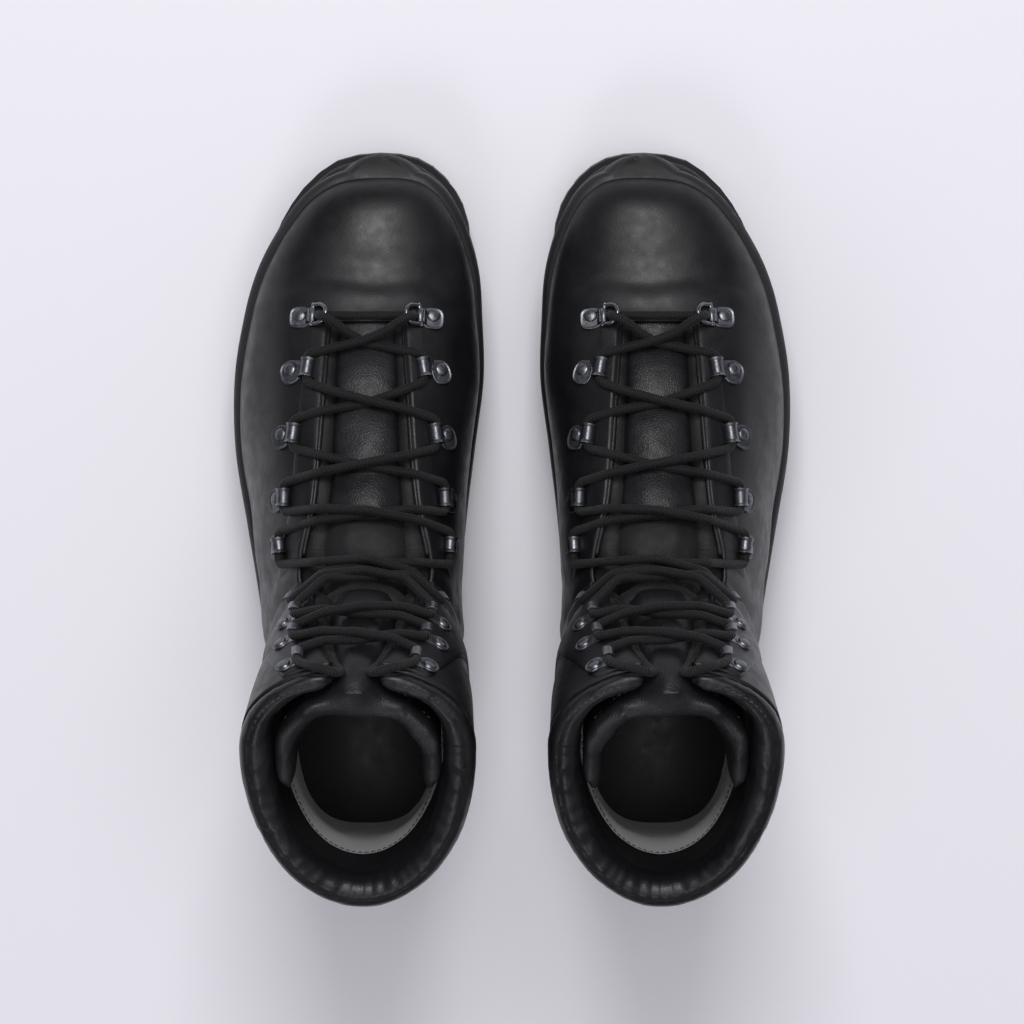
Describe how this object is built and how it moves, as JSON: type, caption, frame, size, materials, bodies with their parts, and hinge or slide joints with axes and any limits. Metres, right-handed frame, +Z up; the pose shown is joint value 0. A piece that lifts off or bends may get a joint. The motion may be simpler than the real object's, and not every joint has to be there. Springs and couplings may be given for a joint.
{
  "type": "mountaineering boots",
  "caption": "Pair of laced leather mountaineering boots with lugged soles, rubber rands, padded collars, tunnel eyelets and speed hooks.",
  "frame": {"origin": "on the floor, midway between the boots and midway from toe to heel", "axes": "+Y to the toes, +Z up, +X to the right boot; the left boot is at -X"},
  "size_m": [0.249, 0.3088, 0.2203],
  "materials": {
    "rubber": "matt moulded",
    "midsole_rubber": "matt moulded",
    "rand_rubber": "matt",
    "steel": "brushed",
    "board": "matt fibre board",
    "footbed_fabric": "felted",
    "stiffener": "matt",
    "leather": "semi-gloss smooth",
    "facing_leather": "satin",
    "lining_fabric": "brushed",
    "tongue_leather": "pebbled satin",
    "foam": "open cell foam",
    "lining_leather": "smooth satin",
    "collar_leather": "soft satin",
    "soft_leather": "soft, wrinkled",
    "gunmetal": "worn satin",
    "ring_steel": "worn satin",
    "rivet_steel": "worn satin",
    "lace": "braided",
    "aglet_plastic": "gloss"
  },
  "bodies": {
    "soles_and_feet": {"left_outsole": "rubber", "left_midsole": "midsole_rubber", "left_shank": "steel", "left_insole_board": "board", "left_footbed": "footbed_fabric", "left_rand": "rand_rubber", "left_toe_puff": "stiffener", "left_heel_counter": "stiffener", "left_vamp": "leather", "left_eyestay": "facing_leather", "left_foot_lining": "lining_fabric", "left_lower_tongue": "tongue_leather", "left_flex_panel": "soft_leather", "left_ring_plates": "gunmetal", "left_eyelets": "gunmetal", "left_lower_rivets": "rivet_steel", "left_lower_lace": "lace", "right_outsole": "rubber", "right_midsole": "midsole_rubber", "right_shank": "steel", "right_insole_board": "board", "right_footbed": "footbed_fabric", "right_rand": "rand_rubber", "right_toe_puff": "stiffener", "right_heel_counter": "stiffener", "right_vamp": "leather", "right_eyestay": "facing_leather", "right_foot_lining": "lining_fabric", "right_lower_tongue": "tongue_leather", "right_flex_panel": "soft_leather", "right_ring_plates": "gunmetal", "right_eyelets": "gunmetal", "right_lower_rivets": "rivet_steel", "right_lower_lace": "lace"},
    "left_shaft": {"left_cuff": "leather", "left_hook_panels": "facing_leather", "left_shaft_foam": "foam", "left_shaft_lining": "lining_leather", "left_collar": "collar_leather", "left_speed_hooks": "gunmetal", "left_upper_rivets": "rivet_steel", "left_upper_lace": "lace", "left_ankle_lace": "lace", "left_aglets": "aglet_plastic"},
    "left_tongue": {"left_tongue": "tongue_leather"},
    "left_lateral_ring": {"left_d_ring_lateral": "ring_steel"},
    "left_medial_ring": {"left_d_ring_medial": "ring_steel"},
    "right_shaft": {"right_cuff": "leather", "right_hook_panels": "facing_leather", "right_shaft_foam": "foam", "right_shaft_lining": "lining_leather", "right_collar": "collar_leather", "right_speed_hooks": "gunmetal", "right_upper_rivets": "rivet_steel", "right_upper_lace": "lace", "right_ankle_lace": "lace", "right_aglets": "aglet_plastic"},
    "right_tongue": {"right_tongue": "tongue_leather"},
    "right_lateral_ring": {"right_d_ring_lateral": "ring_steel"},
    "right_medial_ring": {"right_d_ring_medial": "ring_steel"}
  },
  "joints": [
    {"name": "left_ankle_flex", "type": "hinge", "parent": "soles_and_feet", "child": "left_shaft", "pos_m": [-0.066, -0.082, 0.122], "axis": [-1, 0, 0], "range_deg": [-4, 6], "stiffness_Nm_per_rad": 12, "deforming": ["left_flex_panel", "left_ankle_lace"]},
    {"name": "left_tongue_tilt", "type": "hinge", "parent": "left_shaft", "child": "left_tongue", "pos_m": [-0.0625, -0.024, 0.144], "axis": [1, 0, 0], "range_deg": [0, 8], "stiffness_Nm_per_rad": 0.8, "deforming": ["left_flex_panel"]},
    {"name": "left_lateral_ring_swivel", "type": "hinge", "parent": "soles_and_feet", "child": "left_lateral_ring", "pos_m": [-0.08646, 0.08711, 0.08278], "axis": [-0.1041, -0.9066, 0.4089], "range_deg": [-5, 12], "deforming": ["left_lower_lace"]},
    {"name": "left_medial_ring_swivel", "type": "hinge", "parent": "soles_and_feet", "child": "left_medial_ring", "pos_m": [-0.03972, 0.08704, 0.08276], "axis": [-0.1043, 0.9129, -0.3947], "range_deg": [-5, 12], "deforming": ["left_lower_lace"]},
    {"name": "right_ankle_flex", "type": "hinge", "parent": "soles_and_feet", "child": "right_shaft", "pos_m": [0.066, -0.082, 0.122], "axis": [-1, 0, 0], "range_deg": [-4, 6], "stiffness_Nm_per_rad": 12, "deforming": ["right_flex_panel", "right_ankle_lace"]},
    {"name": "right_tongue_tilt", "type": "hinge", "parent": "right_shaft", "child": "right_tongue", "pos_m": [0.0625, -0.024, 0.144], "axis": [1, 0, 0], "range_deg": [0, 8], "stiffness_Nm_per_rad": 0.8, "deforming": ["right_flex_panel"]},
    {"name": "right_lateral_ring_swivel", "type": "hinge", "parent": "soles_and_feet", "child": "right_lateral_ring", "pos_m": [0.08646, 0.08711, 0.08278], "axis": [-0.1041, 0.9066, -0.4089], "range_deg": [-5, 12], "deforming": ["right_lower_lace"]},
    {"name": "right_medial_ring_swivel", "type": "hinge", "parent": "soles_and_feet", "child": "right_medial_ring", "pos_m": [0.03972, 0.08704, 0.08276], "axis": [-0.1043, -0.9129, 0.3947], "range_deg": [-5, 12], "deforming": ["right_lower_lace"]}
  ]
}
